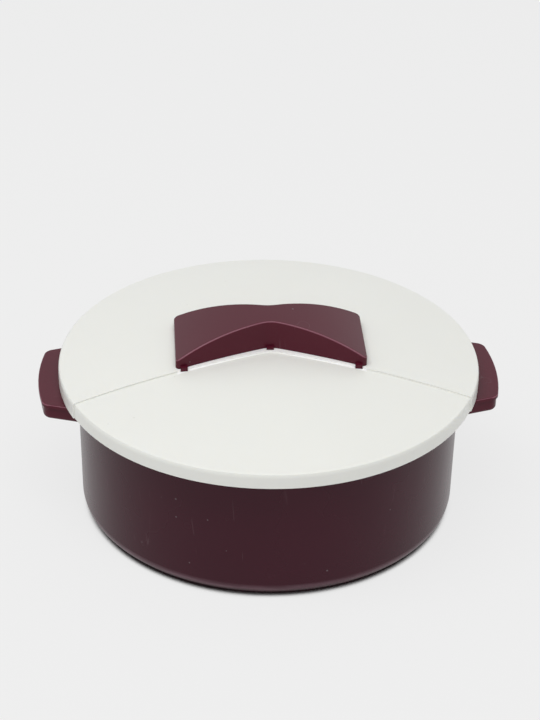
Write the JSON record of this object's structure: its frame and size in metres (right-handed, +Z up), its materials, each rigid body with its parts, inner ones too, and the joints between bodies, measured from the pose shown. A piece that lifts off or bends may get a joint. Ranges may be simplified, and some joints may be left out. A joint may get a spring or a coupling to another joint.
{
  "type": "insulated casserole",
  "caption": "Round insulated casserole for flat breads: maroon body with side handles, steel bowl inside, and a shallow domed white lid with an arched handle that lifts off.",
  "frame": {"origin": "on the surface the casserole stands on, below the middle of the round bowl", "axes": "+Z up along the bowl's axis; the side handles lie along X; -Y is the front, where the lid is one step lower than at the back"},
  "size_m": [0.2744, 0.2492, 0.1229],
  "materials": {
    "maroon_plastic": "satin",
    "white_plastic": "gloss",
    "white_liner": "satin",
    "steel": "satin",
    "screw_steel": "satin",
    "foam": "matte"
  },
  "bodies": {
    "base": {"outer_bowl": "maroon_plastic", "rim_collar": "maroon_plastic", "inner_bowl": "steel", "base_foam": "foam", "base_foam_plug": "maroon_plastic", "handle_screws": "screw_steel"},
    "lid": {"lid_top": "white_plastic", "lid_liner": "white_liner", "lid_foam": "foam", "lid_foam_plug": "white_liner", "lid_handle": "maroon_plastic", "lid_handle_screws": "screw_steel", "lid_handle_washers": "screw_steel"}
  },
  "joints": [
    {"name": "lid_lift", "type": "slide", "parent": "base", "child": "lid", "axis": [0, 0, 1], "range_m": [0, 0.12]}
  ]
}
